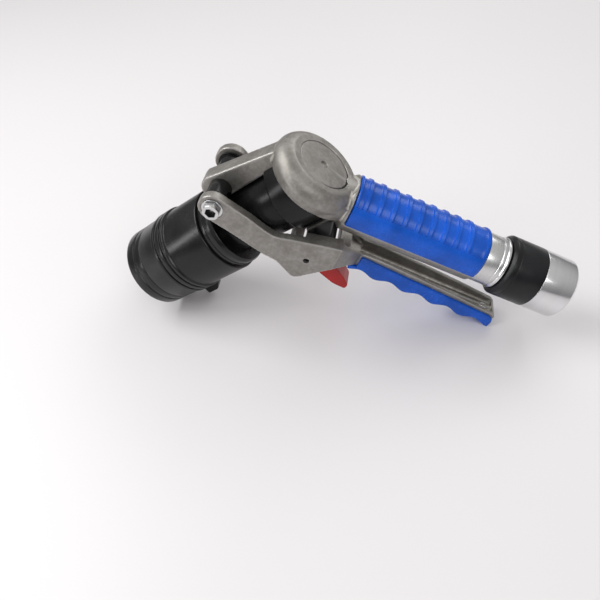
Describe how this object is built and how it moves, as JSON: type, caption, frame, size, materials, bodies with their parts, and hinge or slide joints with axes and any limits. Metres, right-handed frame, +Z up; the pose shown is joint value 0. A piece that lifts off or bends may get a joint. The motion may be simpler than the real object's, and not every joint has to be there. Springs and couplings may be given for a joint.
{
  "type": "fuel nozzle",
  "caption": "Fuel nozzle with a squeeze lever on two arms, jaws in the mouth, a latch trigger, a ribbed grip and a swivelling hose connector.",
  "frame": {"origin": "on the floor below the middle of the nozzle, which rests on its mouth rim and its lever tip", "axes": "+Z up, +X from the mouth towards the hose connector, +Y to the far side of the symmetry plane"},
  "size_m": [0.3048, 0.0622, 0.1353],
  "materials": {
    "cast_aluminium": "satin cast, lightly mottled",
    "machined_aluminium": "turned, satin",
    "black_shell": "gloss black",
    "black_neck": "semi-gloss black",
    "polished_steel": "polished",
    "plated_steel": "bright plated",
    "spring_steel": "drawn wire",
    "jaw_steel": "ground",
    "brass": "machined",
    "bronze": "sintered",
    "blue_grip": "moulded, satin gloss",
    "red_latch": "moulded, satin gloss",
    "black_plastic": "semi-gloss",
    "seal_rubber": "matte"
  },
  "bodies": {
    "nozzle_body": {"body_casting": "cast_aluminium", "dome_disc": "machined_aluminium", "disc_seal": "seal_rubber", "flange_ring": "black_neck", "neck_tube": "black_neck", "rear_collar": "black_shell", "barrel_shell": "black_shell", "nose_ring": "black_shell", "pivot_bolt": "plated_steel", "pivot_nut": "plated_steel", "bolt_spacers": "black_neck", "valve_seat": "brass", "valve_spring": "spring_steel", "grip_cover": "blue_grip", "handle_tube": "machined_aluminium", "retaining_ring": "polished_steel", "swivel_balls": "spring_steel", "swivel_seal": "seal_rubber", "inlet_filter": "spring_steel"},
    "lever": {"lever_yoke": "cast_aluminium", "lever_pad": "blue_grip", "arm_bushes": "bronze", "drive_pins": "plated_steel", "latch_pin": "black_neck", "latch_spring": "spring_steel", "pad_screws": "plated_steel"},
    "latch": {"latch_trigger": "red_latch"},
    "draw": {"draw_tube": "jaw_steel", "mouth_seal": "seal_rubber", "jaw_pins": "plated_steel"},
    "valve": {"valve_poppet": "brass", "poppet_seal": "seal_rubber"},
    "top_jaw": {"jaw_top": "jaw_steel"},
    "near_jaw": {"jaw_near": "jaw_steel"},
    "bottom_jaw": {"jaw_bottom": "jaw_steel"},
    "far_jaw": {"jaw_far": "jaw_steel"},
    "swivel": {"swivel_sleeve": "black_plastic", "hose_connector": "polished_steel", "connector_seal": "seal_rubber"}
  },
  "joints": [
    {"name": "lever_pivot", "type": "hinge", "parent": "nozzle_body", "child": "lever", "pos_m": [-0.07368, 0, 0.10243], "axis": [0, -1, 0], "range_deg": [0, 4.2], "stiffness_Nm_per_rad": 8, "springref_deg": -25.78},
    {"name": "latch_pivot", "type": "hinge", "parent": "lever", "child": "latch", "pos_m": [-0.01836, 0, 0.06547], "axis": [0, -1, 0], "range_deg": [0, 10], "stiffness_Nm_per_rad": 0.06, "springref_deg": -20.05},
    {"name": "draw_slide", "type": "slide", "parent": "nozzle_body", "child": "draw", "axis": [0.8143, 0, 0.5804], "range_m": [0, 0.0022]},
    {"name": "valve_slide", "type": "slide", "parent": "nozzle_body", "child": "valve", "axis": [0.8143, 0, 0.5804], "range_m": [0, 0.0022], "deforming": ["valve_spring"]},
    {"name": "top_jaw_pivot", "type": "hinge", "parent": "draw", "child": "top_jaw", "pos_m": [-0.1142, 0, 0.06348], "axis": [0, -1, 0], "range_deg": [0, 4.5]},
    {"name": "bottom_jaw_pivot", "type": "hinge", "parent": "draw", "child": "bottom_jaw", "pos_m": [-0.0904, 0, 0.03009], "axis": [0, 1, 0], "range_deg": [0, 4.5]},
    {"name": "near_jaw_pivot", "type": "hinge", "parent": "draw", "child": "near_jaw", "pos_m": [-0.1023, -0.0205, 0.04678], "axis": [0.5804, 0, -0.8143], "range_deg": [0, 4.5]},
    {"name": "far_jaw_pivot", "type": "hinge", "parent": "draw", "child": "far_jaw", "pos_m": [-0.1023, 0.0205, 0.04678], "axis": [-0.5804, 0, 0.8143], "range_deg": [0, 4.5]},
    {"name": "swivel_turn", "type": "hinge", "parent": "nozzle_body", "child": "swivel", "pos_m": [0.11667, 0, 0.04496], "axis": [0.9169, 0, -0.3991], "continuous": true}
  ],
  "couplings": [
    {"joint": "draw_slide", "follows": "lever_pivot", "m_per_rad": 0.0287},
    {"joint": "valve_slide", "follows": "lever_pivot", "m_per_rad": 0.0287},
    {"joint": "top_jaw_pivot", "follows": "lever_pivot", "ratio": 1},
    {"joint": "bottom_jaw_pivot", "follows": "lever_pivot", "ratio": 1},
    {"joint": "near_jaw_pivot", "follows": "lever_pivot", "ratio": 1},
    {"joint": "far_jaw_pivot", "follows": "lever_pivot", "ratio": 1}
  ]
}
